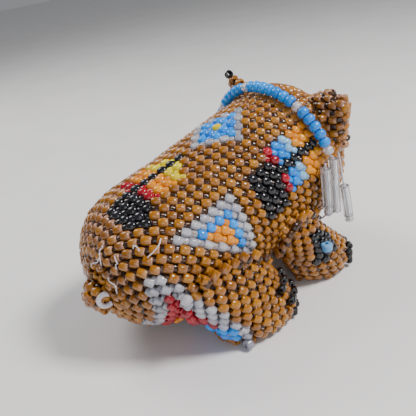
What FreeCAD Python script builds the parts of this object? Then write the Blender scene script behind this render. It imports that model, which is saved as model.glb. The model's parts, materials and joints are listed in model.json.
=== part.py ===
"""Thread-woven seed-bead animal with a bead necklace, in millimetres.

The animal stands on four flat paws and faces -Y, with +Z up and its right side towards -X.
The origin is on the ground, under the middle of the figure's box.
"""
import FreeCAD, Part
import math
import os

from FreeCAD import Vector

os.makedirs("parts", exist_ok=True)

# --- Driving dimensions -------------------------------------------------------------------
MID_FORWARD = -19.2        # forward distance, from the nape, of the middle of the figure
SKIN = 2.0                  # thickness of the beaded skin, one seed bead
NECK_TILT = 8.0             # degrees that the neck rises forward
NECK_RADIUS = 18.7          # outside of the beaded neck under the necklace
NECK_CENTRE = (2.7, 26.7)   # forward and up of the middle of the necklace
RING_RADIUS = 20.5          # middle line of the necklace strand
BEAD_PITCH = 6.1            # degrees between strand beads
STRAND_TURN = 11.5          # degrees that the loose strand has slipped round to the right
BLUE_RADIUS = 1.4
BLUE_LENGTH = 2.0
THROAT_ANGLES = (128.0, 154.0, 180.0, -154.0, -128.0)  # clear beads under the throat
CLEAR_RADIUS = 1.25
CLEAR_LENGTH = 1.7
HOLE_RADIUS = 0.5
THREAD_RADIUS = 0.22
BUGLE_RADIUS = 1.25
BUGLE_HOLE = 0.6
BUGLE_LENGTH = 14.0
BUGLE_TOP = 4.1             # height of a side bugle's top above the necklace centre, in its plane
STRAND_STEPS = (-14, 10)    # first and last strand bead, counted from the middle blue one
CLEAR_STEPS = (-14, -10, -4, 4, 10)  # places of the clear beads, counted from the middle blue one
FORE_PENDANT_AHEAD = 2.3    # distance of the fore pendant's hinge ahead of the necklace's plane
REAR_PENDANT_AHEAD = -2.9
PENDANT_TOP = 4.2           # height of a pendant's hinge above the necklace centre, in its plane
SEED_RADIUS = 1.0           # seed beads of the claws, eyes and nose
SEED_LENGTH = 1.6
SEED_HOLE = 0.35
RIM_SHARE = 0.3             # share of a bead's radius or length that its rounded rim takes
STRAND_ENDS = (76.6, 122.0)  # angles from the nape where the strand leaves the round for a side bugle
END_SLACK = 0.5             # bare thread above and below a side bugle
END_BEAD_SHARE = 0.9        # radius of a pendant's last bead as a share of the other clear beads
PENDANT_SLACK = 0.5         # thread that shows below a pendant's last bead
FORE_PENDANT_DROP = 9.2     # bare thread above a pendant's glass
FORE_PENDANT_LENGTH = 8.6
REAR_PENDANT_DROP = 1.2
REAR_PENDANT_LENGTH = 9.6
BEAD_GAP = 0.1              # space between a pendant's glass and the bead under it

# Cross sections of the body across its length: forward, middle height, half width, half height.
BODY_SECTIONS = [
    (-55.2, 18.3, 3.5, 3.5),
    (-53.6, 18.4, 9.5, 8.8),
    (-49.6, 18.7, 15.4, 13.4),
    (-43.5, 19.0, 19.0, 16.2),
    (-36.0, 19.7, 20.0, 17.2),
    (-25.0, 21.4, 19.7, 17.9),
    (-12.0, 24.0, 19.0, 18.8),
    (-2.0, 26.04, NECK_RADIUS, 18.9),
    (4.0, 26.9, NECK_RADIUS, 18.9),
]
# Cross sections of the head, from the neck to the face.
HEAD_SECTIONS = [
    (4.0, 26.9, NECK_RADIUS, 18.9),
    (9.0, 27.3, 18.4, 18.1),
    (13.0, 27.3, 15.5, 14.9),
    (15.8, 27.2, 11.0, 10.7),
    (17.4, 27.2, 5.5, 5.8),
]
# Level sections of a right leg: height, sideways, forward, half width, half length.
HIND_LEG_SECTIONS = [
    (0.0, 18.0, -27.0, 7.0, 10.0),
    (2.5, 18.6, -27.3, 8.6, 11.6),
    (6.0, 18.2, -28.5, 9.0, 12.2),
    (10.5, 16.8, -31.0, 9.6, 12.4),
    (16.0, 14.5, -33.5, 9.5, 12.5),
    (22.0, 11.0, -34.5, 7.5, 10.5),
    (25.0, 9.0, -34.5, 4.5, 6.0),
]
FORELEG_SECTIONS = [
    (0.0, 15.5, -1.2, 6.2, 7.6),
    (2.5, 16.0, -0.7, 7.6, 9.4),
    (6.0, 16.0, -2.2, 7.9, 9.8),
    (10.0, 15.6, -4.8, 7.7, 9.0),
    (14.0, 14.6, -7.6, 7.6, 8.2),
    (18.5, 12.8, -9.0, 7.2, 8.0),
    (22.0, 10.5, -9.5, 4.5, 5.0),
]
MUZZLE = (16.0, 22.0, 6.2, 5.2)      # forward, up, half width, half height at its root
MUZZLE_LENGTH = 3.6
MUZZLE_DEPTH = 4.0                   # length of the muzzle that is hidden in the head
MUZZLE_TAPER = ((0.0, 1.0), (0.7, 0.8), (1.0, 0.45))  # share of its length, and its size there
NOSE_PLACES = ((-1.15, 2.2), (1.15, 2.2), (0.0, 0.3))  # sideways and up of each nose bead
EAR_ROOT = (12.5, 8.2, 36.6)         # sideways, forward, up
LEFT_EAR_TIP = (20.0, 8.4, 45.8)
RIGHT_EAR_TIP = (18.8, 8.6, 43.6)
EAR_ROOT_SIZE = (8.6, 4.2)           # half breadth and half thickness
LEFT_EAR_TIP_SIZE = (1.3, 1.0)
RIGHT_EAR_TIP_SIZE = (3.4, 2.2)
EAR_MIDDLE = 0.55                    # share of the ear's height at its middle section
EAR_TIP_RISE = 0.9                   # height of the tip bead above the ear
EAR_TIP_BEAD = 1.15
TAIL_CENTRE = (-54.4, 15.6)          # forward, up
TAIL_SIZE = (4.4, 4.6, 4.2)          # half sizes sideways, forward, up
EYE = (7.2, 16.7, 32.5)
EYE_RADIUS = 1.2
KNOT_CENTRE = (4.18, -55.6, 16.2)    # sideways, forward, up
KNOT_RADIUS = 1.5
KNOT_THREAD = 0.55
KNOT_FACING = (-1.0, 0.35, 0.0)
HIND_CLAW_ANGLES = (18.0, 36.0, 54.0)  # degrees out from straight ahead
HIND_CLAW_LEVELS = (1.8, 5.7, 9.6)
FORE_CLAW_ANGLES = (10.0, 34.0, 58.0)
FORE_CLAW_LEVELS = (2.0, 4.4)
LARGE_BEAD_OUT = 0.2
HEEL_BEAD = (24.6, -35.0, 1.4)
LARGE_BEAD_LEVEL = 11.0              # height of the large bead on the outside of each forepaw


DOWN = Vector(0, 0, -1)


def place(right, forward, up):
    """Point of the animal, given to its right, forward of its nape and up from the ground."""
    return Vector(-right, MID_FORWARD - forward, up)


def in_ring(right, rise, ahead):
    """Point given in the necklace's own plane, and ahead of that plane along the neck."""
    tilt = math.radians(NECK_TILT)
    forward = NECK_CENTRE[0] - rise * math.sin(tilt) + ahead * math.cos(tilt)
    up = NECK_CENTRE[1] + rise * math.cos(tilt) + ahead * math.sin(tilt)
    return place(right, forward, up)


def round_wire(centre, first, second, first_half, second_half, corners=16):
    """Closed smooth ellipse whose points start at the same corner in every section."""
    points = []
    for corner in range(corners):
        angle = 2.0 * math.pi * corner / corners
        points.append(centre + first * (first_half * math.cos(angle))
                      + second * (second_half * math.sin(angle)))
    curve = Part.BSplineCurve()
    curve.interpolate(points, PeriodicFlag=True)
    return Part.Wire([curve.toShape()])


def upright_loft(sections, shrink):
    """Body lofted through upright sections, each drawn in by shrink."""
    wires = []
    for forward, height, half_width, half_height in sections:
        wires.append(round_wire(place(0.0, forward, height), Vector(-1, 0, 0), Vector(0, 0, 1),
                                half_width - shrink, half_height - shrink))
    return Part.makeLoft(wires, True, False)


def level_loft(sections, side, shrink):
    """Leg lofted through level sections; side is 1 on the right and -1 on the left."""
    wires = []
    for height, right, forward, half_width, half_length in sections:
        centre = place(side * right, forward, height)
        wires.append(round_wire(centre, Vector(1, 0, 0), Vector(0, 1, 0),
                                half_width - shrink, half_length - shrink))
    return Part.makeLoft(wires, True, False)


def bored_bead(centre, axis, radius, length, hole):
    """Short glass cylinder with rounded rims and a hole along its axis."""
    direction = Vector(axis)
    direction.normalize()
    start = centre - direction * (length / 2.0)
    outside = Part.makeCylinder(radius, length, start, direction)
    rims = [edge for edge in outside.Edges if edge.Curve.TypeId == "Part::GeomCircle"]
    outside = outside.makeFillet(min(radius, length) * RIM_SHARE, rims)
    reach = length
    bore = Part.makeCylinder(hole, length + 2.0 * reach, start - direction * reach, direction)
    return outside.cut(bore)


def bored_bugle(top, direction, length):
    """Long glass tube hanging from its top end."""
    tube = Part.makeCylinder(BUGLE_RADIUS, length, top, direction)
    bore = Part.makeCylinder(BUGLE_HOLE, length + 2.0, top - direction, direction)
    return tube.cut(bore)


def thread_run(start, end):
    """Straight run of thread with a round end at its start."""
    run = end - start
    rod = Part.makeCylinder(THREAD_RADIUS, run.Length, start, run)
    return rod.fuse(Part.makeSphere(THREAD_RADIUS, start))


def ellipsoid(centre, half_sizes):
    """Solid egg shape with its half sizes along X, Y and Z."""
    ball = Part.makeSphere(1.0)
    matrix = FreeCAD.Matrix()
    matrix.scale(*half_sizes)
    shape = ball.transformGeometry(matrix)
    shape.translate(centre)
    return shape


def save(name, shape):
    """Write one node."""
    shape.exportStep("parts/" + name + ".step")


# --- Stuffed body and head --------------------------------------------------------------------
def make_trunk():
    """Body and head: stuffing and the beaded skin over it."""
    body = upright_loft(BODY_SECTIONS, 0.0)
    body_core = upright_loft(BODY_SECTIONS[1:], SKIN)
    head = upright_loft(HEAD_SECTIONS, 0.0)
    head_core = upright_loft(HEAD_SECTIONS[:-1], SKIN)
    for side in (1, -1):
        head_core = head_core.cut(eye_pocket(side))
    save("body_stuffing", body_core)
    save("body_bead_skin", body.cut(body_core))
    save("head_stuffing", head_core)
    save("head_bead_skin", head.cut(head_core))
    return body, head


def make_muzzle(head):
    """Short beaded muzzle with its nose beads."""
    forward, up, half_width, half_height = MUZZLE
    wires = [round_wire(place(0.0, forward - MUZZLE_DEPTH, up), Vector(-1, 0, 0), Vector(0, 0, 1),
                        half_width, half_height)]
    for share, size in MUZZLE_TAPER:
        wires.append(round_wire(place(0.0, forward + share * MUZZLE_LENGTH, up), Vector(-1, 0, 0),
                                Vector(0, 0, 1), half_width * size, half_height * size))
    muzzle = Part.makeLoft(wires, True, False)
    save("muzzle_bead_skin", muzzle.cut(head))
    beads = []
    for right, rise in NOSE_PLACES:
        centre = place(right, forward + MUZZLE_LENGTH, up + rise)
        beads.append(bored_bead(centre, (1, 0, 0), SEED_RADIUS, SEED_LENGTH, SEED_HOLE))
    save("nose_beads", Part.makeCompound(beads))


def eye_pocket(side):
    """Round hollow in the stuffing that an eye bead sits in."""
    right, forward, up = EYE
    start = place(side * right - SEED_LENGTH / 2.0 - BEAD_GAP, forward, up)
    return Part.makeCylinder(EYE_RADIUS + BEAD_GAP, SEED_LENGTH + 2.0 * BEAD_GAP, start, Vector(-1, 0, 0))


def make_eyes():
    """One black bead for each eye, with its hole across the face."""
    for side, name in ((1, "right"), (-1, "left")):
        right, forward, up = EYE
        centre = place(side * right, forward, up)
        save(name + "_eye_bead", bored_bead(centre, (1, 0, 0), EYE_RADIUS, SEED_LENGTH, SEED_HOLE))


def make_ears(head):
    """Two flat pointed ears of doubled beadwork, standing up and out."""
    for side, name in ((1, "right"), (-1, "left")):
        ear_tip = RIGHT_EAR_TIP if side > 0 else LEFT_EAR_TIP
        tip_size = RIGHT_EAR_TIP_SIZE if side > 0 else LEFT_EAR_TIP_SIZE
        root = place(side * EAR_ROOT[0], EAR_ROOT[1], EAR_ROOT[2])
        tip = place(side * ear_tip[0], ear_tip[1], ear_tip[2])
        along = tip - root
        along.normalize()
        thick = Vector(0, 1, 0)
        broad = along.cross(thick)
        broad.normalize()
        middle = root + (tip - root) * EAR_MIDDLE
        mid_broad = (EAR_ROOT_SIZE[0] + tip_size[0]) * 0.5
        mid_thick = (EAR_ROOT_SIZE[1] + tip_size[1]) * 0.5
        wires = [
            round_wire(root, broad, thick, EAR_ROOT_SIZE[0], EAR_ROOT_SIZE[1]),
            round_wire(middle, broad, thick, mid_broad, mid_thick),
            round_wire(tip, broad, thick, *tip_size),
        ]
        ear = Part.makeLoft(wires, True, False)
        save(name + "_ear", ear.cut(head))
        if side < 0:
            bead = bored_bead(tip + along * EAR_TIP_RISE, broad, EAR_TIP_BEAD, SEED_LENGTH, SEED_HOLE)
            save(name + "_ear_tip_bead", bead)


def make_tail(body):
    """Beaded tail tuft and the knot of thread at its root."""
    centre = place(0.0, TAIL_CENTRE[0], TAIL_CENTRE[1])
    tuft = ellipsoid(centre, TAIL_SIZE).cut(body)
    save("tail_tuft", tuft)
    knot = Part.makeTorus(KNOT_RADIUS, KNOT_THREAD, place(*KNOT_CENTRE), Vector(*KNOT_FACING))
    save("tail_thread_knot", knot.cut(body))


# --- Legs ----------------------------------------------------------------------------------
def claw_beads(sections, side, angles, levels):
    """Black beads round the front of a paw, in upright lines of a few beads."""
    beads = []
    for angle in angles:
        turn = math.radians(angle)
        for level in levels:
            _, right, forward, half_width, half_length = level_section(sections, level)
            centre = place(side * (right + half_width * math.sin(turn)),
                           forward + half_length * math.cos(turn), level)
            axis = Vector(-side * math.cos(turn), math.sin(turn), 0)
            beads.append(bored_bead(centre, axis, SEED_RADIUS, SEED_LENGTH, SEED_HOLE))
    return Part.makeCompound(beads)


def level_section(sections, level):
    """Section of a leg at a given height, between the two that are listed round it."""
    for low, high in zip(sections, sections[1:]):
        if low[0] <= level <= high[0]:
            share = (level - low[0]) / (high[0] - low[0])
            return tuple(a + (b - a) * share for a, b in zip(low, high))
    return sections[-1]


def make_leg(name, sections, side, body):
    """One leg: stuffing and its beaded skin with a flat sole."""
    outside = level_loft(sections, side, 0.0)
    core_sections = [(SKIN,) + sections[0][1:]] + sections[1:]
    core = level_loft(core_sections, side, SKIN)
    save(name + "_leg_stuffing", core.cut(body))
    save(name + "_leg_bead_skin", outside.cut(core).cut(body))


def make_legs(body):
    """Four legs with their claw beads."""
    for side, word in ((1, "right"), (-1, "left")):
        make_leg(word + "_hind", HIND_LEG_SECTIONS, side, body)
        make_leg(word + "_fore", FORELEG_SECTIONS, side, body)
        save(word + "_hind_claw_beads",
             claw_beads(HIND_LEG_SECTIONS, side, HIND_CLAW_ANGLES, HIND_CLAW_LEVELS))
        save(word + "_fore_claw_beads",
             claw_beads(FORELEG_SECTIONS, side, FORE_CLAW_ANGLES, FORE_CLAW_LEVELS))
        _, right, forward, half_width, _ = level_section(FORELEG_SECTIONS, LARGE_BEAD_LEVEL)
        centre = place(side * (right + half_width + LARGE_BEAD_OUT), forward, LARGE_BEAD_LEVEL)
        save(word + "_forepaw_large_bead",
             bored_bead(centre, (0, 0, 1), BLUE_RADIUS, BLUE_LENGTH, HOLE_RADIUS))
    centre = place(*HEEL_BEAD)
    save("right_hind_heel_bead", bored_bead(centre, (0, 1, 0), CLEAR_RADIUS, CLEAR_LENGTH, HOLE_RADIUS))


# --- Necklace --------------------------------------------------------------------------------
def strand_bead(angle, radius, length):
    """Bead threaded on the strand, at an angle round the neck from the nape."""
    turn = math.radians(angle)
    centre = in_ring(RING_RADIUS * math.sin(turn), RING_RADIUS * math.cos(turn), 0.0)
    ahead = in_ring(RING_RADIUS * math.sin(turn) + math.cos(turn),
                    RING_RADIUS * math.cos(turn) - math.sin(turn), 0.0)
    return bored_bead(centre, ahead - centre, radius, length, HOLE_RADIUS)


def strand_arc(first, last):
    """Thread along the round part of the strand, between two angles from the nape."""
    tilt = math.radians(NECK_TILT)
    axis = Vector(0, -math.cos(tilt), math.sin(tilt))
    centre = in_ring(0.0, 0.0, 0.0)
    turn = math.radians(first)
    start = in_ring(RING_RADIUS * math.sin(turn), RING_RADIUS * math.cos(turn), 0.0)
    ahead = in_ring(RING_RADIUS * math.sin(turn) + math.cos(turn),
                    RING_RADIUS * math.cos(turn) - math.sin(turn), 0.0) - start
    disc = Part.Face(Part.Wire([Part.makeCircle(THREAD_RADIUS, start, ahead)]))
    return disc.revolve(centre, axis, last - first)


def make_necklace():
    """Strand of blue and clear beads over the nape, with a bugle down each side of the neck."""
    blue = []
    clear = []
    first_step, last_step = STRAND_STEPS
    for step in range(first_step, last_step + 1):
        angle = STRAND_TURN + step * BEAD_PITCH
        if step in CLEAR_STEPS:
            clear.append(strand_bead(angle, CLEAR_RADIUS, CLEAR_LENGTH))
        else:
            blue.append(strand_bead(angle, BLUE_RADIUS, BLUE_LENGTH))
    for angle in THROAT_ANGLES:
        clear.append(strand_bead(angle, CLEAR_RADIUS, CLEAR_LENGTH))
    save("necklace_blue_beads", Part.makeCompound(blue))
    save("necklace_clear_beads", Part.makeCompound(clear))

    upper_end, lower_end = STRAND_ENDS
    thread = strand_arc(-upper_end, upper_end)
    thread = thread.fuse(strand_arc(lower_end, 360.0 - lower_end))
    for side, name in ((1, "right"), (-1, "left")):
        top = in_ring(side * RING_RADIUS, BUGLE_TOP, 0.0)
        bottom = top + DOWN * BUGLE_LENGTH
        corners = [ring_point(side * upper_end), top - DOWN * END_SLACK, bottom + DOWN * END_SLACK,
                   ring_point(side * lower_end)]
        for start, end in zip(corners, corners[1:]):
            thread = thread.fuse(thread_run(start, end))
        thread = thread.fuse(Part.makeSphere(THREAD_RADIUS, corners[-1]))
        save("necklace_" + name + "_bugle", bored_bugle(top, DOWN, BUGLE_LENGTH))
    save("necklace_thread", thread)


def ring_point(angle):
    """Point on the strand's middle line."""
    turn = math.radians(angle)
    return in_ring(RING_RADIUS * math.sin(turn), RING_RADIUS * math.cos(turn), 0.0)


def make_pendants():
    """Bugles that hang from the strand on their own threads, two on each side."""
    forward_down = in_ring(0.0, -1.0, 0.0) - in_ring(0.0, 0.0, 0.0)
    pendants = (("fore", FORE_PENDANT_AHEAD, FORE_PENDANT_DROP, FORE_PENDANT_LENGTH, forward_down),
                ("rear", REAR_PENDANT_AHEAD, REAR_PENDANT_DROP, REAR_PENDANT_LENGTH, DOWN))
    for side, word in ((1, "right"), (-1, "left")):
        for kind, ahead, drop, length, down in pendants:
            hinge = in_ring(side * RING_RADIUS, PENDANT_TOP, ahead)
            top = hinge + down * drop
            glass = [bored_bugle(top, down, length)]
            end_bead = top + down * (length + BEAD_GAP + CLEAR_LENGTH / 2.0)
            glass.append(bored_bead(end_bead, down, CLEAR_RADIUS * END_BEAD_SHARE, CLEAR_LENGTH, HOLE_RADIUS))
            save(word + "_" + kind + "_pendant_glass", Part.makeCompound(glass))
            tail = hinge + down * (drop + length + BEAD_GAP + CLEAR_LENGTH + PENDANT_SLACK)
            save(word + "_" + kind + "_pendant_thread", thread_run(hinge, tail))


def main():
    body, head = make_trunk()
    make_muzzle(head)
    make_eyes()
    make_ears(head)
    make_tail(body)
    make_legs(body)
    make_necklace()
    make_pendants()


main()
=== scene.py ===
# Woven seed-bead animal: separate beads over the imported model, in metres.
import json
import math
import random

import bmesh
import bpy
import numpy as np
from mathutils import Matrix, Vector
from mathutils.bvhtree import BVHTree


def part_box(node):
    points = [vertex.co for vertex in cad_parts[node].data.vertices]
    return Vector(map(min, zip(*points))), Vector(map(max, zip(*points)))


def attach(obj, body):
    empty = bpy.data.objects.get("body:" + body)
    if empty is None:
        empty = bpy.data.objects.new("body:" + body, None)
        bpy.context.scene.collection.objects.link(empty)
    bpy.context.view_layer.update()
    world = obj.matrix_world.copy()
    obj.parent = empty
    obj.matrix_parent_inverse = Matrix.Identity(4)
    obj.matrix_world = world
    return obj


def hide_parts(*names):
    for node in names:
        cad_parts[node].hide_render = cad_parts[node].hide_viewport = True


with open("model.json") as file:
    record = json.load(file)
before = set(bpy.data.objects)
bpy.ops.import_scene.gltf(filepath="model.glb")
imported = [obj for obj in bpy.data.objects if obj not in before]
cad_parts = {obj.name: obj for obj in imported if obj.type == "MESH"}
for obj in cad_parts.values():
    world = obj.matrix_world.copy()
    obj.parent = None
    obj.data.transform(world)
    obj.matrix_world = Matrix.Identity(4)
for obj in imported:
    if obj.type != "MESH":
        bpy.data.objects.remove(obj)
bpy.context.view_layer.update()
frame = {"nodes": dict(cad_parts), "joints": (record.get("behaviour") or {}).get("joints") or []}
rng = random.Random(7)
MM = 0.001

# --- The figure's own measures, from the frame ----------------------------------------------
joint_of = {joint["name"]: joint for joint in frame["joints"]}
NECK = Vector(joint_of["necklace_turn"]["pos_m"])
AHEAD = Vector(joint_of["necklace_turn"]["axis"]).normalized()
RIGHT = Vector((-1, 0, 0))
RISE = RIGHT.cross(AHEAD).normalized()
NAPE = NECK + RISE * 20.5 * MM
COLUMN = 2.57 * MM           # spacing of bead columns round the body
STEP = 2.57 * MM             # spacing of bead rows along the body


def near_nape(forward, up):
    """Point on the middle plane, forward and up of the nape bead, in millimetres."""
    return NAPE + Vector((0, -forward, up)) * MM


# --- Camera, light and floor ------------------------------------------------------------------
def aim(obj, target, roll=0.0):
    look = (target - obj.location).to_track_quat("-Z", "Y").to_matrix().to_4x4()
    obj.matrix_world = (Matrix.Translation(obj.location) @ look
                        @ Matrix.Rotation(math.radians(roll), 4, "Z"))


def make_camera():
    data = bpy.data.cameras.new("camera")
    camera = bpy.data.objects.new("camera", data)
    bpy.context.scene.collection.objects.link(camera)
    data.sensor_width = 36.0
    data.lens = 46.75
    data.clip_start = 0.01
    data.shift_x = -0.0143
    data.shift_y = -0.0098
    target = near_nape(-19.6, -24.4)
    azimuth, elevation, distance = math.radians(233.75), math.radians(25.6), 135.5 * MM
    back = Vector((math.sin(azimuth) * math.cos(elevation),
                   -math.cos(azimuth) * math.cos(elevation), math.sin(elevation)))
    camera.location = target + back * distance
    aim(camera, target, -9.8)
    bpy.context.scene.camera = camera


def area_light(name, location, target, size, power, colour):
    data = bpy.data.lights.new(name, "AREA")
    data.size = size
    data.energy = power
    data.color = colour
    lamp = bpy.data.objects.new(name, data)
    bpy.context.scene.collection.objects.link(lamp)
    lamp.location = location
    aim(lamp, target)


def make_studio():
    middle = near_nape(-20, -25)
    area_light("key", middle + Vector((-0.22, -0.16, 0.36)), middle, 0.12, 2.5, (1.0, 0.97, 0.96))
    area_light("fill", middle + Vector((-0.35, 0.30, 0.16)), middle, 0.30, 0.55, (0.90, 0.93, 1.0))
    area_light("back", middle + Vector((0.28, 0.05, 0.30)), middle, 0.20, 0.9, (1.0, 0.98, 0.95))
    world = bpy.data.worlds.new("studio")
    bpy.context.scene.world = world
    world.use_nodes = True
    world.node_tree.nodes["Background"].inputs["Color"].default_value = (0.86, 0.88, 0.92, 1)
    world.node_tree.nodes["Background"].inputs["Strength"].default_value = 0.30
    mesh = bpy.data.meshes.new("floor")
    reach = 1.5
    mesh.from_pydata([(-reach, -reach, 0), (reach, -reach, 0), (reach, reach, 0), (-reach, reach, 0)],
                     [], [(0, 1, 2, 3)])
    floor = bpy.data.objects.new("floor", mesh)
    bpy.context.scene.collection.objects.link(floor)
    floor.data.materials.append(floor_material())


# --- Materials ----------------------------------------------------------------------------------
class Shader:
    """A node material with a few short helpers."""

    def __init__(self, name):
        self.material = bpy.data.materials.new(name)
        self.material.use_nodes = True
        self.nodes = self.material.node_tree.nodes
        self.links = self.material.node_tree.links
        self.main = self.nodes["Principled BSDF"]

    def add(self, kind, **inputs):
        node = self.nodes.new(kind)
        for key, value in inputs.items():
            node.inputs[key.replace("_", " ")].default_value = value
        return node

    def set(self, **inputs):
        for key, value in inputs.items():
            self.main.inputs[key.replace("_", " ")].default_value = value

    def link(self, output, target):
        self.links.new(output, target)

    def ramp(self, source, stops):
        node = self.nodes.new("ShaderNodeValToRGB")
        ramp = node.color_ramp
        while len(ramp.elements) < len(stops):
            ramp.elements.new(0.5)
        for element, (position, colour) in zip(ramp.elements, stops):
            element.position = position
            element.color = (*colour, 1)
        self.link(source, node.inputs["Fac"])
        return node.outputs["Color"]

    def noise(self, scale, detail=2.0):
        coordinates = self.nodes.new("ShaderNodeTexCoord")
        noise = self.add("ShaderNodeTexNoise", Scale=scale, Detail=detail)
        self.link(coordinates.outputs["Object"], noise.inputs["Vector"])
        return noise.outputs["Fac"]

    def bump(self, height, strength, distance):
        node = self.add("ShaderNodeBump", Strength=strength, Distance=distance)
        self.link(height, node.inputs["Height"])
        self.link(node.outputs["Normal"], self.main.inputs["Normal"])

    def tone(self):
        node = self.nodes.new("ShaderNodeAttribute")
        node.attribute_name = "tone"
        return node.outputs["Fac"]


def floor_material():
    shader = Shader("pale_floor")
    colour = shader.ramp(shader.noise(30.0), [(0.3, (0.80, 0.79, 0.78)), (0.7, (0.84, 0.83, 0.82))])
    shader.link(colour, shader.main.inputs["Base Color"])
    shader.set(Roughness=0.9)
    return shader.material


def bead_material(name, dark, middle, light, transmission, roughness, end_highlight_share=0.0):
    """Glass seed bead whose colour differs a little from bead to bead, cloudy inside, with a painted
    highlight at one end of each bead.
    """
    shader = Shader(name)
    mix = shader.nodes.new("ShaderNodeMath")
    mix.operation = "ADD"
    cloud = shader.nodes.new("ShaderNodeMath")
    cloud.operation = "MULTIPLY_ADD"
    cloud.inputs[1].default_value = 0.5
    cloud.inputs[2].default_value = -0.25
    shader.link(shader.noise(900.0, 3.0), cloud.inputs[0])
    shader.link(shader.tone(), mix.inputs[0])
    shader.link(cloud.outputs[0], mix.inputs[1])
    colour = shader.ramp(mix.outputs[0], [(0.0, dark), (0.5, middle), (1.0, light)])
    # Painted highlight: the lit end of each bead turns pale pink, partly the pale thread showing in its
    # hole.
    end = shader.nodes.new("ShaderNodeAttribute")
    end.attribute_name = "end"
    share = shader.nodes.new("ShaderNodeMath")
    share.operation = "MULTIPLY"
    share.inputs[1].default_value = end_highlight_share
    shader.link(end.outputs["Fac"], share.inputs[0])
    blend = shader.nodes.new("ShaderNodeMix")
    blend.data_type = "RGBA"
    blend.inputs["B"].default_value = (0.80, 0.60, 0.58, 1)
    shader.link(share.outputs[0], blend.inputs["Factor"])
    shader.link(colour, blend.inputs["A"])
    shader.link(blend.outputs["Result"], shader.main.inputs["Base Color"])
    shader.set(Roughness=roughness, IOR=1.5, Transmission_Weight=transmission,
               Coat_Weight=0.35, Coat_Roughness=0.05)
    shader.bump(shader.noise(2600.0, 2.0), 0.12, 0.00005)
    return shader.material


def thread_material(name, dark, light):
    shader = Shader(name)
    colour = shader.ramp(shader.noise(2500.0), [(0.35, dark), (0.7, light)])
    shader.link(colour, shader.main.inputs["Base Color"])
    shader.set(Roughness=0.55, Sheen_Weight=0.25, Sheen_Roughness=0.4)
    shader.bump(shader.noise(6000.0), 0.4, 0.00008)
    return shader.material


def lining_material():
    """Dark underside of the beadwork, its brown partly real thread and partly painted shade in the
    hollows between beads, with white cloth where the weave has opened.
    """
    shader = Shader("lining_cloth")
    coordinates = shader.nodes.new("ShaderNodeTexCoord")
    cover = None
    for centre, reach in lining_gaps():
        distance = shader.nodes.new("ShaderNodeVectorMath")
        distance.operation = "DISTANCE"
        distance.inputs[1].default_value = centre
        shader.link(coordinates.outputs["Object"], distance.inputs[0])
        near = shader.add("ShaderNodeMapRange", From_Min=reach, From_Max=reach * 0.5)
        shader.link(distance.outputs["Value"], near.inputs["Value"])
        if cover is None:
            cover = near.outputs["Result"]
        else:
            top = shader.nodes.new("ShaderNodeMath")
            top.operation = "MAXIMUM"
            shader.link(cover, top.inputs[0])
            shader.link(near.outputs["Result"], top.inputs[1])
            cover = top.outputs[0]
    # Near-black brown: the underside's brown thread, darkened further as painted shade under the beads.
    shade_and_thread_brown = shader.ramp(shader.noise(1500.0), [(0.3, (0.010, 0.004, 0.002)),
                                               (0.75, (0.045, 0.016, 0.006))])
    white = shader.ramp(shader.noise(1800.0), [(0.3, (0.62, 0.58, 0.60)),
                                               (0.7, (0.85, 0.83, 0.86))])
    blend = shader.nodes.new("ShaderNodeMix")
    blend.data_type = "RGBA"
    shader.link(cover, blend.inputs["Factor"])
    shader.link(shade_and_thread_brown, blend.inputs["A"])
    shader.link(white, blend.inputs["B"])
    shader.link(blend.outputs["Result"], shader.main.inputs["Base Color"])
    shader.set(Roughness=0.85)
    shader.bump(shader.noise(4000.0, 4.0), 0.6, 0.0002)
    return shader.material


OPEN_SHARE = 0.8             # beads are left out over this share of a place's reach
# Out from the middle, back and up from the nape bead, and reach, in millimetres.
OPEN_PLACES = ((20.2, 29.2, -33.0, 2.9), (18.4, 32.5, -28.5, 1.9), (16.2, 42.0, -22.5, 1.5))


def lining_gaps():
    """Places where the net has opened over the cloth, below and behind the hip triangles."""
    gaps = []
    for side in (1, -1):
        for out, back, up, reach in OPEN_PLACES:
            centre = Vector((-side * out * MM, NAPE.y + back * MM, NAPE.z + up * MM))
            gaps.append((centre, reach * MM))
    return gaps


MATERIALS = {}


def make_materials():
    MATERIALS.update({
        "amber": bead_material("amber_glass", (0.20, 0.062, 0.0), (0.38, 0.132, 0.0),
                               (0.54, 0.215, 0.0), 0.16, 0.10, 0.30),
        # Darker copy of the amber for the sunken beads between rows: painted shade in the hollows
        # between the raised beads.
        "gap": bead_material("shaded_amber_glass", (0.016, 0.005, 0.002), (0.040, 0.013, 0.003),
                             (0.085, 0.030, 0.006), 0.0, 0.16),
        "black": bead_material("black_glass", (0.003, 0.003, 0.004), (0.006, 0.006, 0.008),
                               (0.012, 0.012, 0.018), 0.0, 0.08),
        "red": bead_material("ruby_glass", (0.22, 0.001, 0.008), (0.42, 0.002, 0.014),
                             (0.62, 0.006, 0.03), 0.15, 0.08),
        "orange": bead_material("orange_glass", (0.62, 0.18, 0.001), (0.88, 0.30, 0.001),
                                (0.98, 0.42, 0.004), 0.15, 0.08),
        "yellow": bead_material("yellow_glass", (0.66, 0.48, 0.001), (0.86, 0.68, 0.001),
                                (0.98, 0.84, 0.01), 0.15, 0.08),
        "blue": bead_material("azure_glass", (0.0, 0.17, 0.62), (0.0, 0.25, 0.80),
                              (0.0, 0.34, 0.92), 0.0, 0.16),
        "aqua": bead_material("aqua_glass", (0.16, 0.44, 0.80), (0.30, 0.62, 0.92),
                              (0.55, 0.80, 0.98), 0.25, 0.08),
        "clear": bead_material("clear_glass", (0.52, 0.52, 0.62), (0.86, 0.86, 0.94),
                               (1.0, 1.0, 1.0), 0.62, 0.03),
        "bugle": bead_material("bugle_glass", (0.90, 0.92, 0.95), (0.95, 0.96, 0.98),
                               (1.0, 1.0, 1.0), 0.88, 0.02),
        "thread": thread_material("pale_thread", (0.50, 0.46, 0.52), (0.80, 0.78, 0.84)),
        "tan_thread": thread_material("tan_thread", (0.34, 0.20, 0.14), (0.62, 0.46, 0.40)),
        "lining": lining_material(),
    })


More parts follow.
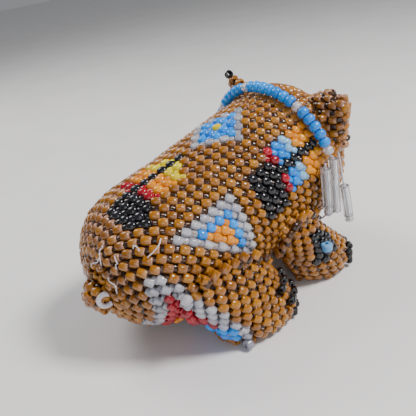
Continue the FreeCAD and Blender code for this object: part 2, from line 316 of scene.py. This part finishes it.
# --- Bead meshes --------------------------------------------------------------------------------
CUT_BEAD = [(-0.42, 0.16), (-0.50, 0.26), (-0.48, 0.40), (-0.36, 0.48),
            (0.0, 0.50), (0.36, 0.48), (0.48, 0.40), (0.50, 0.26), (0.42, 0.16)]
ROUND_BEAD = [(-0.40, 0.15), (-0.49, 0.23), (-0.46, 0.33), (-0.30, 0.45),
              (0.0, 0.50), (0.30, 0.45), (0.46, 0.33), (0.49, 0.23), (0.40, 0.15)]


BEAD_SIDES = 10


def bead_shape(profile):
    """One seed bead of diameter 1 and length 1, its hole along X: vertices and quads."""
    points = []
    for side in range(BEAD_SIDES):
        angle = 2.0 * math.pi * side / BEAD_SIDES
        for along, out in profile:
            points.append((along, out * math.cos(angle), out * math.sin(angle)))
    faces = []
    count = len(profile)
    for side in range(BEAD_SIDES):
        after = (side + 1) % BEAD_SIDES
        for row in range(count):
            below = (row + 1) % count
            faces.append((side * count + row, after * count + row,
                          after * count + below, side * count + below))
    return np.array(points), np.array(faces)


CUT_POINTS, BEAD_FACES = bead_shape(CUT_BEAD)
ROUND_POINTS, _ = bead_shape(ROUND_BEAD)
SQUARE_ENDED = ("amber", "gap", "clear")
ROUND_SWELL = 1.08           # round beads look as full as cut ones when a little larger
SIZE_SPREAD = 0.05           # beads differ in size by up to this share
TONE_RANGE = (0.2, 0.8)
END_HIGHLIGHT_FROM = 0.30             # where the painted highlight at one end of a cut bead starts, as a share of its length: light on the lit end face, with some pale thread in the hole
END_HIGHLIGHT_SLOPE = 6.0             # how quickly it turns pale from there


class Bead:
    """A bead's centre, outward direction, hole direction and size."""

    def __init__(self, centre, outward, along, diameter, length, colour, column=0, row=0):
        self.centre = centre
        self.outward = outward
        self.along = along
        self.diameter = diameter
        self.length = length
        self.colour = colour
        self.column = column
        self.row = row


def mesh_object(name, points, faces, material, tones=None):
    mesh = bpy.data.meshes.new(name)
    mesh.from_pydata([tuple(point) for point in points], [], [tuple(face) for face in faces])
    mesh.polygons.foreach_set("use_smooth", [True] * len(mesh.polygons))
    if tones is not None:
        mesh.attributes.new("tone", "FLOAT", "POINT").data.foreach_set("value", tones)
    mesh.materials.append(material)
    obj = bpy.data.objects.new(name, mesh)
    bpy.context.scene.collection.objects.link(obj)
    return obj


def bead_group(name, beads, colour, body):
    """All beads of one colour in one region as one piece, each a separate closed solid."""
    points, faces, tones, end_highlight_weights = [], [], [], []
    shape = CUT_POINTS if colour in SQUARE_ENDED else ROUND_POINTS
    swell = 1.0 if colour in SQUARE_ENDED else ROUND_SWELL
    # Weight of the painted highlight at each bead's lit end.
    end_highlight_rim = np.clip((shape[:, 0] - END_HIGHLIGHT_FROM) * END_HIGHLIGHT_SLOPE, 0.0, 1.0)
    for number, bead in enumerate(beads):
        across = bead.outward.cross(bead.along).normalized()
        turn = np.array([bead.along, across, bead.outward])
        spread = 1.0 + rng.uniform(-SIZE_SPREAD, SIZE_SPREAD)
        size = np.array([bead.length, bead.diameter, bead.diameter]) * swell * spread
        points.append((shape * size) @ turn + np.array(bead.centre))
        faces.append(BEAD_FACES + number * len(shape))
        tones += [rng.uniform(*TONE_RANGE)] * len(shape)
        end_highlight_weights.append(end_highlight_rim)
    obj = mesh_object(name, np.concatenate(points).tolist(), np.concatenate(faces).tolist(),
                      MATERIALS[colour], tones)
    obj.data.attributes.new("end", "FLOAT", "POINT").data.foreach_set("value", np.concatenate(end_highlight_weights))
    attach(obj, body)
    return obj


# --- Weaving -------------------------------------------------------------------------------------
CORE_CLEARANCE = 1.0 * MM    # faces nearer than this to the stuffing are a shell's inside
BEAD_SIZE = (2.12 * MM, 2.12 * MM)
FILLER_SHARE = 0.86          # sunken bead's size as a share of a bead's
FILLER_SUNK = 0.55 * MM
PLANE_SAMPLES = 90
HALF_TURN_ROOM = 0.8         # share of a column that the last bead round a row needs
LOOSEST = 0.9 * MM           # furthest that a bead's place lies from the skin itself
LEAST_CROSSING = 0.2         # below this a surface faces along the spine and has no row direction


class Skin:
    """The outside of a CAD node, to be sliced and touched."""

    def __init__(self, node):
        mesh = frame["nodes"][node].data
        mesh.calc_loop_triangles()
        self.points = np.array([vertex.co for vertex in mesh.vertices])
        self.triangles = np.array([triangle.vertices for triangle in mesh.loop_triangles])
        self.tree = BVHTree.FromPolygons(self.points.tolist(), self.triangles.tolist())

    def section(self, origin, normal, up):
        """Convex outline of a plane section, clockwise from its top as seen from behind."""
        side = np.array(normal.cross(up))
        rise = np.array(up)
        start = np.array(origin)
        heights = (self.points - start) @ np.array(normal)
        corners = heights[self.triangles]
        crossing = self.triangles[(corners.min(1) < 0) & (corners.max(1) > 0)]
        if len(crossing) < 3:
            return None
        found = []
        for first, second in ((0, 1), (1, 2), (2, 0)):
            a, b = crossing[:, first], crossing[:, second]
            cut = heights[a] * heights[b] < 0
            a, b = a[cut], b[cut]
            share = heights[a] / (heights[a] - heights[b])
            found.append(self.points[a] + (self.points[b] - self.points[a]) * share[:, None])
        found = np.concatenate(found) - start
        flat = np.stack([found @ side, found @ rise], -1)
        return Outline(convex_outline(flat), start, side, rise)

    def outer_tree(self, core):
        """The outside faces alone, without the ones that lie against the stuffing."""
        centres = self.points[self.triangles].mean(1)
        kept = [number for number, centre in enumerate(centres)
                if core.tree.find_nearest(Vector(centre))[3] > CORE_CLEARANCE]
        return BVHTree.FromPolygons(self.points.tolist(), self.triangles[kept].tolist())

    def touch(self, point):
        place, outward, _, _ = self.tree.find_nearest(Vector(point))
        return place, outward


def convex_outline(flat):
    """Corners of the convex outline of plane points, clockwise."""
    order = sorted(set(map(tuple, np.round(flat, 7))))

    def half(points):
        chain = []
        for point in points:
            while len(chain) > 1:
                (ax, ay), (bx, by) = chain[-2], chain[-1]
                if (bx - ax) * (point[1] - ay) - (by - ay) * (point[0] - ax) >= 0:
                    chain.pop()
                else:
                    break
            chain.append(point)
        return chain

    return np.array(half(order)[:-1] + half(order[::-1])[:-1])


class Outline:
    """Closed outline measured from its top."""

    def __init__(self, flat, start, side, rise):
        self.start, self.side, self.rise = start, side, rise
        self.middle = 0.5 * (flat.min(0) + flat.max(0))
        loop = np.concatenate([flat, flat[:1]])
        self.loop = loop
        steps = np.linalg.norm(np.diff(loop, axis=0), axis=1)
        self.marks = np.concatenate([[0], np.cumsum(steps)])
        self.length = self.marks[-1]
        self.top = 0.0
        best = -math.inf
        for number in range(len(flat)):
            ax, bx = loop[number, 0] - self.middle[0], loop[number + 1, 0] - self.middle[0]
            if ax * bx <= 0 and ax != bx:
                share = ax / (ax - bx)
                height = loop[number, 1] + share * (loop[number + 1, 1] - loop[number, 1])
                if height > best:
                    best = height
                    self.top = self.marks[number] + share * steps[number]

    def at(self, distance):
        """Point at a distance clockwise from the top."""
        mark = (self.top + distance) % self.length
        x = np.interp(mark, self.marks, self.loop[:, 0])
        y = np.interp(mark, self.marks, self.loop[:, 1])
        return self.start + self.side * x + self.rise * y


def even_planes(skin, plane_at, first, last, step):
    """Plane settings from first to last, a step apart as measured along the surface."""
    settings, reach = [], [0.0]
    before = None
    for number in range(PLANE_SAMPLES + 1):
        setting = first + (last - first) * number / PLANE_SAMPLES
        outline = skin.section(*plane_at(setting))
        if outline is None:
            continue
        centre = outline.start + outline.side * outline.middle[0] + outline.rise * outline.middle[1]
        radius = outline.length / (2.0 * math.pi)
        if before is not None:
            moved = np.linalg.norm(centre - before[0])
            reach.append(reach[-1] + math.hypot(moved, radius - before[1]))
        settings.append(setting)
        before = (centre, radius)
    count = int(reach[-1] / step)
    return [float(np.interp(index * step, reach, settings)) for index in range(count + 1)]


def weave(skin, plane, settings, column, colour_of, keep, size, slant=1, first_row=0):
    """Beads on a square grid of rows and columns, with smaller sunken ones between them."""
    beads = lay_beads(skin, [plane(setting) for setting in settings], column, colour_of, keep, size,
                      slant, first_row)
    between = [plane((first + second) / 2.0) for first, second in zip(settings, settings[1:])]
    diameter, length = size

    def filler_colour(number, row, centre):
        colour = colour_of(number, row, centre)
        # Sunken amber beads take the darker amber copy, painted shade between the raised beads.
        return "gap" if colour == "amber" else colour

    small = (diameter * FILLER_SHARE, length * FILLER_SHARE)
    return beads + lay_beads(skin, between, column, filler_colour, keep, small, slant,
                             first_row, 0.5, FILLER_SUNK)


def lay_beads(skin, planes, column, colour_of, keep, size, slant, first_row, offset=0.0, sunk=0.0):
    """Beads on section planes, each with its hole along the grid's diagonal."""
    beads = []
    diameter, length = size
    for index, (origin, normal, up) in enumerate(planes):
        row = first_row - index - offset
        outline = skin.section(origin, normal, up)
        if outline is None:
            continue
        half = int(outline.length / column / 2.0)
        for number in range(-half, half + 1):
            if number == -half and outline.length - 2 * half * column < column * HALF_TURN_ROOM:
                continue
            number += offset
            point = outline.at(number * column)
            place, outward = skin.touch(point)
            if (place - Vector(point)).length > LOOSEST or not keep(Vector(point), outward):
                continue
            round_way = normal.cross(outward)
            if round_way.length < LEAST_CROSSING:
                continue
            round_way.normalize()
            if round_way.dot(Vector(outline.at((number + 0.2) * column) - point)) < 0:
                round_way.negate()
            ahead_way = round_way.cross(outward)
            if ahead_way.dot(normal) < 0:
                ahead_way.negate()
            along = (round_way + ahead_way * slant).normalized()
            across = outward.cross(along)
            along = (along + outward * rng.uniform(-0.08, 0.08)
                     + across * rng.uniform(-0.10, 0.10)).normalized()
            outward = (outward - along * outward.dot(along)).normalized()
            centre = (place - outward * (diameter * 0.5 + sunk + rng.uniform(0.0, 0.14) * MM)
                      + across * rng.uniform(-0.08, 0.08) * MM + along * rng.uniform(-0.08, 0.08) * MM)
            colour = colour_of(number, row, centre)
            beads.append(Bead(centre, outward, along, diameter, length, colour, number, row))
    return beads


# --- Motifs on the body, in columns from the back's middle and half rows back from the nape ------
def back_cactus(column, row):
    """Cactus on the middle of the back: black bulb and stem, rays of red, orange and yellow."""
    aside, below = abs(column - 1.8), abs(row + 21)
    if aside <= 2.2 and below <= 1.7 and aside + below <= 2.9:
        return "black"
    if abs(column) < 0.4 and -20 < row < -13.6:
        return "black"
    if 0.4 < abs(column) < 2.8 and -19.6 < row < -14.0 - 0.5 * abs(column):
        if row < -18.4:
            return "red"
        return "orange" if row < -16.4 else "yellow"
    return None


def neck_star(column, row):
    """Diamond behind the neck: yellow centre, blue, then a clear border."""
    layer = abs(column) + abs(row + 9)
    for reach, colour in ((0.6, "yellow"), (2.2, "blue"), (3.8, "clear")):
        if layer < reach:
            return colour
    return None


def shoulder_cactus(column, row):
    """Cactus on the shoulder: black bulb and stem, rays of red, blue, aqua and orange."""
    aside, below = abs(column - 9.1), abs(row + 9.9)
    if aside <= 2.2 and below <= 1.7 and aside + below <= 3.3:
        return "black"
    if 7.8 <= column <= 8.6 and -9 < row < -2:
        return "black"
    if 5.8 < column < 10.8 and -8.6 < row < -2.6:
        if row < -7.6:
            return "red"
        if row < -6.2:
            return "blue"
        return "aqua" if row < -5.2 else "orange"
    return None


def hip_triangle(column, row):
    """Triangle on the hip: clear border, blue, orange, and clear again along its foot."""
    down, back = column - 7, -14 - row
    ring, sum_of_both = min(down, back), down + back
    if ring < -0.1 or sum_of_both > 6.6:
        return None
    if ring < 0.9 or sum_of_both > 5.4:
        return "clear"
    return "blue" if ring < 1.4 else "orange"


def haunch_triangle(centre):
    """Triangle low on the haunch: clear border, red, orange and blue."""
    out, back, height = abs(centre.x) / MM, centre.y / MM, centre.z / MM
    if out < 6 or back < 14.5 or not 3.0 <= height <= 21.5:
        return None
    edge = 20.5 - 1.207 * (28.4 - back)
    ring = min((30.4 - back) / 2.5, (edge + 1.6 - height) / 1.567 / 2.5)
    if ring < 0:
        return None
    if ring < 1.0:
        return "clear"
    if back < 20.5:
        return "blue"
    if ring < 2.0:
        return "red"
    return "orange" if ring < 3.0 else "blue"


def body_colour(column, row, centre):
    side = abs(column)
    return (back_cactus(column, row) or neck_star(column, row) or shoulder_cactus(side, row)
            or hip_triangle(side, row) or haunch_triangle(centre) or "amber")


# --- Regions -----------------------------------------------------------------------------------
FLAT_END = 0.93              # how squarely a face looks along an axis to belong to a flat end
CAP_REACH = 8                # columns each way over a flat end
OVERLAP_ALLOWED = 0.35 * MM  # how far a bead's place may lie under another skin
CAP_COLUMNS = 100            # sets an end's column numbers apart from the weave's
THREAD_SHARE = 0.4           # share of neighbouring beads whose thread is seen
LONGEST_TIE = 4.6 * MM
TIE_RADIUS = 0.12 * MM
LOOSE_RADIUS = 0.14 * MM
EYE_ROOM = 1.9 * MM          # least distance from an eye bead's middle to a bead's place
NOSE_ROOM = 1.5 * MM
CLAW_ROOM = 1.6 * MM
EAR_TIP_ROOM = 1.3 * MM


def body_plane(back):
    """Plane of a row, square to the spine, at a distance back from the necklace's plane."""
    return NECK - AHEAD * back, AHEAD, RISE


def all_amber(column, row, centre):
    """Plain ground, without a motif."""
    return "amber"


def cap_beads(skin, node, outward, keep):
    """Beads over the flat end of a skin, on the same square grid."""
    low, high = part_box(node)
    middle = (low + high) * 0.5
    reach = (high - low).length
    side = Vector((1, 0, 0))
    rise = outward.cross(side).normalized()
    beads = []
    way = (side + rise).normalized()
    for across in range(-CAP_REACH, CAP_REACH + 1):
        for along in range(-CAP_REACH, CAP_REACH + 1):
            start = middle + (side * across + rise * along) * COLUMN + outward * reach
            place, facing, _, _ = skin.tree.ray_cast(start, -outward)
            if place is None or facing.dot(outward) < FLAT_END or not keep(place, facing):
                continue
            centre = place - outward * BEAD_SIZE[0] * 0.5
            beads.append(Bead(centre, outward, way, *BEAD_SIZE, "amber", across - CAP_COLUMNS, along))
    return beads


def opened(point, outward):
    """Leave out the few beads where the net has opened over the cloth."""
    return all((point - centre).length > reach * OPEN_SHARE for centre, reach in lining_gaps())


def outside_of(skins, points, reach):
    """Test that a place is clear of other skins and of single beads that are already there."""

    def test(point, outward):
        if not opened(point, outward):
            return False
        for skin in skins:
            place, away = skin.touch(point)
            if (point - place).dot(away) < -OVERLAP_ALLOWED:
                return False
        return all((point - other).length > reach for other in points)

    return test


def island_centres(node):
    """Middle of each separate solid in a CAD node."""
    work = bmesh.new()
    work.from_mesh(frame["nodes"][node].data)
    bmesh.ops.remove_doubles(work, verts=work.verts, dist=1e-7)
    seen, centres = set(), []
    for vertex in work.verts:
        if vertex in seen:
            continue
        island, queue = [], [vertex]
        seen.add(vertex)
        while queue:
            here = queue.pop()
            island.append(here.co.copy())
            for edge in here.link_edges:
                other = edge.other_vert(here)
                if other not in seen:
                    seen.add(other)
                    queue.append(other)
        low = Vector([min(point[axis] for point in island) for axis in range(3)])
        high = Vector([max(point[axis] for point in island) for axis in range(3)])
        centres.append((low + high) * 0.5)
    work.free()
    return centres


def place_region(name, beads, node):
    """One piece for each colour in a region; together they stand for the CAD skin."""
    by_colour = {}
    for bead in beads:
        by_colour.setdefault(bead.colour, []).append(bead)
    for colour, members in sorted(by_colour.items()):
        bead_group(name + "_" + colour + "_beads", members, colour, "figure")
    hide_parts(node)
    tie_threads(name + "_threads", beads)


def tie_threads(name, beads):
    """Threads that leave one bead's hole, cross the sunken bead and enter the next bead's hole."""
    place = {(bead.column, bead.row): bead for bead in beads}
    points, faces = [], []
    for bead in beads:
        for turn in (1, -1):
            other = place.get((bead.column + 1, bead.row + turn))
            if other is None or rng.random() > THREAD_SHARE:
                continue
            span = other.centre - bead.centre
            if span.length > LONGEST_TIE or abs(span.normalized().dot(bead.along)) < 0.75:
                continue
            heading = 1 if span.dot(bead.along) > 0 else -1
            start = bead.centre + bead.along * heading * bead.length * 0.42
            end = other.centre - other.along * heading * other.length * 0.42
            lift = (bead.outward + other.outward).normalized() * 0.62 * MM
            middle = (start + end) * 0.5 + lift
            route = [start, start.lerp(middle, 0.6), middle, end.lerp(middle, 0.6), end]
            add_tube(points, faces, route, TIE_RADIUS, 5)
    obj = mesh_object(name, points, faces, MATERIALS["tan_thread"])
    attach(obj, "figure")


# Out from the middle, back and up from the nape bead, and length, in millimetres.
LOOSE_ENDS = ((-3.0, 57.5, -26, 5.0), (1.5, 56.5, -23, 4.0), (4.5, 55.5, -21.5, 5.5),
              (8.5, 53.0, -19.5, 5.0), (11.5, 50.0, -17.5, 4.5), (13.5, 47.5, -20.5, 5.0),
              (6.5, 54.0, -24.5, 4.0))
LOOSE_STEPS = 8


def loose_threads(skin):
    """Ends of thread left near the tail and on the haunch."""
    points, faces = [], []
    for out, back, up, length in LOOSE_ENDS:
        start = Vector((-out * MM, NAPE.y + back * MM, NAPE.z + up * MM))
        heading = Vector((rng.uniform(-1, 0.2), rng.uniform(-1, 1), rng.uniform(-1, 1))).normalized()
        route = []
        for step in range(LOOSE_STEPS + 1):
            share = step / LOOSE_STEPS
            point = start + heading * length * share * MM
            place, outward = skin.touch(point)
            curl = Vector((math.sin(step * 0.9 + out), math.cos(step * 0.7),
                           math.sin(step * 0.8 + back))) * 0.35 * MM
            route.append(place + outward * (0.10 + 0.45 * math.sin(math.pi * share)) * MM + curl)
        add_tube(points, faces, route, LOOSE_RADIUS, 6)
    obj = mesh_object("loose_threads", points, faces, MATERIALS["thread"])
    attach(obj, "figure")


def add_tube(points, faces, route, radius, sides):
    """Closed tube along a route, added to a list of points and faces."""
    first = len(points)
    for index, centre in enumerate(route):
        before = route[max(index - 1, 0)]
        after = route[min(index + 1, len(route) - 1)]
        along = (after - before).normalized()
        across = along.orthogonal().normalized()
        if index:
            across = (last_across - along * last_across.dot(along)).normalized()
        last_across = across
        other = along.cross(across)
        for side in range(sides):
            angle = 2.0 * math.pi * side / sides
            points.append(tuple(centre + (across * math.cos(angle) + other * math.sin(angle)) * radius))
    rings = len(route)
    for ring in range(rings - 1):
        for side in range(sides):
            after = (side + 1) % sides
            faces.append((first + ring * sides + side, first + ring * sides + after,
                          first + (ring + 1) * sides + after, first + (ring + 1) * sides + side))
    faces.append(tuple(first + side for side in range(sides))[::-1])
    faces.append(tuple(first + (rings - 1) * sides + side for side in range(sides)))


LINING_GROWTH = 0.7 * MM
LINING_DEPTH = 1.35 * MM     # least depth of the lining under the beads' outside
LUMP_HEIGHT = 0.18 * MM


def make_lining(node, name, skin):
    """Stuffed lining under the beads, a little uneven, in place of the plain CAD solid."""
    source = frame["nodes"][node]
    mesh = source.data.copy()
    mesh.materials.clear()
    obj = bpy.data.objects.new(name, mesh)
    bpy.context.scene.collection.objects.link(obj)
    remesh = obj.modifiers.new("remesh", "REMESH")
    remesh.mode = "VOXEL"
    remesh.voxel_size = 0.9 * MM
    with bpy.context.temp_override(object=obj, active_object=obj, selected_objects=[obj]):
        bpy.ops.object.modifier_apply(modifier="remesh")
    cover = skin.outer_tree(Skin(node))
    work = bmesh.new()
    work.from_mesh(obj.data)
    work.normal_update()
    for vertex in work.verts:
        x, y, z = vertex.co
        lump = math.sin(x * 900 + 2) * math.sin(y * 700) * math.sin(z * 800 + 1)
        vertex.co += vertex.normal * (LINING_GROWTH + LUMP_HEIGHT * lump)
        place, outward, _, _ = cover.find_nearest(vertex.co)
        depth = (place - vertex.co).dot(outward)
        if depth < LINING_DEPTH:
            vertex.co -= outward * (LINING_DEPTH - depth)
    work.to_mesh(obj.data)
    work.free()
    obj.data.polygons.foreach_set("use_smooth", [True] * len(obj.data.polygons))
    obj.data.materials.append(MATERIALS["lining"])
    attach(obj, "figure")
    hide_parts(node)


def make_body():
    """Body rows, with one more ahead of the strand where the nape leans forward."""
    skin = Skin("body_bead_skin")
    settings = even_planes(skin, body_plane, -1.0 * MM, 59.5 * MM, STEP)
    settings = [settings[0] - STEP] + settings

    def on_side(point, outward):
        return opened(point, outward) and outward.dot(AHEAD) < 0.5

    beads = weave(skin, body_plane, settings, COLUMN, body_colour, on_side, BEAD_SIZE, 1, 1)
    beads += cap_beads(skin, "body_bead_skin", -AHEAD, outside_of([Skin("tail_tuft")], [], 0))
    place_region("body", beads, "body_bead_skin")
    return skin


def make_head(body):
    """Head rows forward from the neck, the flat end of the face, and the muzzle."""
    skin = Skin("head_bead_skin")
    low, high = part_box("head_bead_skin")

    def plane(ahead):
        return NECK + AHEAD * ahead, AHEAD, RISE

    muzzle = Skin("muzzle_bead_skin")
    eyes = island_centres("right_eye_bead") + island_centres("left_eye_bead")
    settings = even_planes(skin, plane, 0.6 * MM, high.y - low.y + 3.5 * MM, STEP * 0.86)
    clear_of = outside_of([body, muzzle], eyes, EYE_ROOM)

    def on_side(point, outward):
        return clear_of(point, outward) and abs(outward.y) < FLAT_END

    beads = weave(skin, plane, settings, COLUMN, all_amber, on_side, BEAD_SIZE)
    beads += cap_beads(skin, "head_bead_skin", Vector((0, -1, 0)), outside_of([muzzle], eyes, EYE_ROOM))
    place_region("head", beads, "head_bead_skin")

    low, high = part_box("muzzle_bead_skin")
    start = Vector(((low.x + high.x) / 2, high.y, (low.z + high.z) / 2))

    def muzzle_plane(ahead):
        return start + Vector((0, -ahead, 0)), Vector((0, -1, 0)), Vector((0, 0, 1))

    nose = island_centres("nose_beads")
    settings = even_planes(muzzle, muzzle_plane, 0.2 * MM, (high.y - low.y) * 0.995, STEP)
    clear_of = outside_of([skin], nose, NOSE_ROOM)
    beads = weave(muzzle, muzzle_plane, settings, COLUMN, all_amber, clear_of, BEAD_SIZE)
    beads += cap_beads(muzzle, "muzzle_bead_skin", Vector((0, -1, 0)), clear_of)
    place_region("muzzle", beads, "muzzle_bead_skin")
    return skin


def make_legs(body):
    """Leg rows upward from the ground, and the soles."""
    for word in ("right", "left"):
        for kind in ("hind", "fore"):
            node = word + "_" + kind + "_leg_bead_skin"
            skin = Skin(node)
            low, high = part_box(node)
            foot = Vector(((low.x + high.x) / 2, (low.y + high.y) / 2, low.z))

            def plane(reach, foot=foot):
                return foot + Vector((0, 0, reach)), Vector((0, 0, 1)), Vector((0, -1, 0))

            claws = island_centres(word + "_" + kind + "_claw_beads")
            if kind == "fore":
                claws += island_centres(word + "_forepaw_large_bead")
            if kind == "hind" and word == "right":
                claws += island_centres("right_hind_heel_bead")
            settings = even_planes(skin, plane, 1.15 * MM, high.z - low.z, STEP * 0.9)
            patch = island_centres(word + "_forepaw_large_bead")[0]

            def colour(column, row, centre, kind=kind, patch=patch):
                if kind == "fore" and (centre - patch).length < 4.6 * MM:
                    return "black"
                return (kind == "hind" and haunch_triangle(centre)) or "amber"

            clear_of = outside_of([body], claws, CLAW_ROOM)
            beads = weave(skin, plane, settings, COLUMN * 1.06, colour, clear_of, BEAD_SIZE, -1)
            beads += cap_beads(skin, node, Vector((0, 0, -1)), clear_of)
            place_region(word + "_" + kind + "_leg", beads, node)


def make_ears(head):
    """Ear rows from the root to the tip."""
    for side, word in ((1, "right"), (-1, "left")):
        node = word + "_ear"
        skin = Skin(node)
        low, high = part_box(node)
        tip = Vector((low.x if side > 0 else high.x, (low.y + high.y) / 2, high.z))
        root = Vector((high.x if side > 0 else low.x, (low.y + high.y) / 2, low.z + 3 * MM))
        along = (tip - root).normalized()

        def plane(reach, along=along, root=root):
            return root + along * reach, along, Vector((0, 1, 0))

        stops = []
        if word == "left":
            stops = island_centres("left_ear_tip_bead")
        settings = even_planes(skin, plane, -4 * MM, (tip - root).length + 2 * MM, STEP)
        beads = weave(skin, plane, settings, COLUMN, all_amber,
                      outside_of([head], stops, EAR_TIP_ROOM), (1.95 * MM, 2.0 * MM))
        place_region(word + "_ear", beads, node)


def make_tail(body):
    """Tail tuft's rows, back from the body."""
    skin = Skin("tail_tuft")
    low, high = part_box("tail_tuft")
    middle = (low + high) * 0.5
    normal = Vector((0, 1, 0))

    def plane(reach):
        return middle + normal * reach, normal, Vector((0, 0, 1))

    half = (high.y - low.y) / 2
    settings = even_planes(skin, plane, -half + 0.3 * MM, half, STEP)
    beads = weave(skin, plane, settings, COLUMN, all_amber,
                  outside_of([body], [], 0), (2.2 * MM, 2.1 * MM))
    place_region("tail", beads, "tail_tuft")


def make_linings():
    legs = [side + "_" + kind + "_leg" for side in ("right", "left") for kind in ("hind", "fore")]
    for part in ["body", "head"] + legs:
        make_lining(part + "_stuffing", part + "_lining", Skin(part + "_bead_skin"))


def make_necklace():
    """Rounder glass beads in place of the plain ones on the strand."""
    for node, colour, diameter, length in (("necklace_blue_beads", "blue", 2.8, 2.05),
                                           ("necklace_clear_beads", "clear", 2.5, 1.8)):
        beads = []
        for centre in island_centres(node):
            outward = centre - NECK
            outward = (outward - AHEAD * outward.dot(AHEAD)).normalized()
            beads.append(Bead(centre, outward, outward.cross(AHEAD).normalized(),
                              diameter * MM, length * MM, colour))
        obj = bead_group("strand_" + colour + "_beads", beads, colour, "necklace")
        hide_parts(node)


def give_cad_materials():
    """Materials for the CAD nodes that stay."""
    for name, obj in frame["nodes"].items():
        if "thread" in name:
            key = "thread"
        elif "bugle" in name or "pendant_glass" in name:
            key = "bugle"
        elif "large_bead" in name:
            key = "aqua"
        elif "heel_bead" in name:
            key = "clear"
        elif "claw" in name or "eye" in name or "nose" in name or "tip_bead" in name:
            key = "black"
        else:
            continue
        obj.data.materials.clear()
        obj.data.materials.append(MATERIALS[key])


make_camera()
make_materials()
make_studio()
body_skin = make_body()
head_skin = make_head(body_skin)
make_legs(body_skin)
make_ears(head_skin)
make_tail(body_skin)
make_linings()
make_necklace()
loose_threads(body_skin)
give_cad_materials()
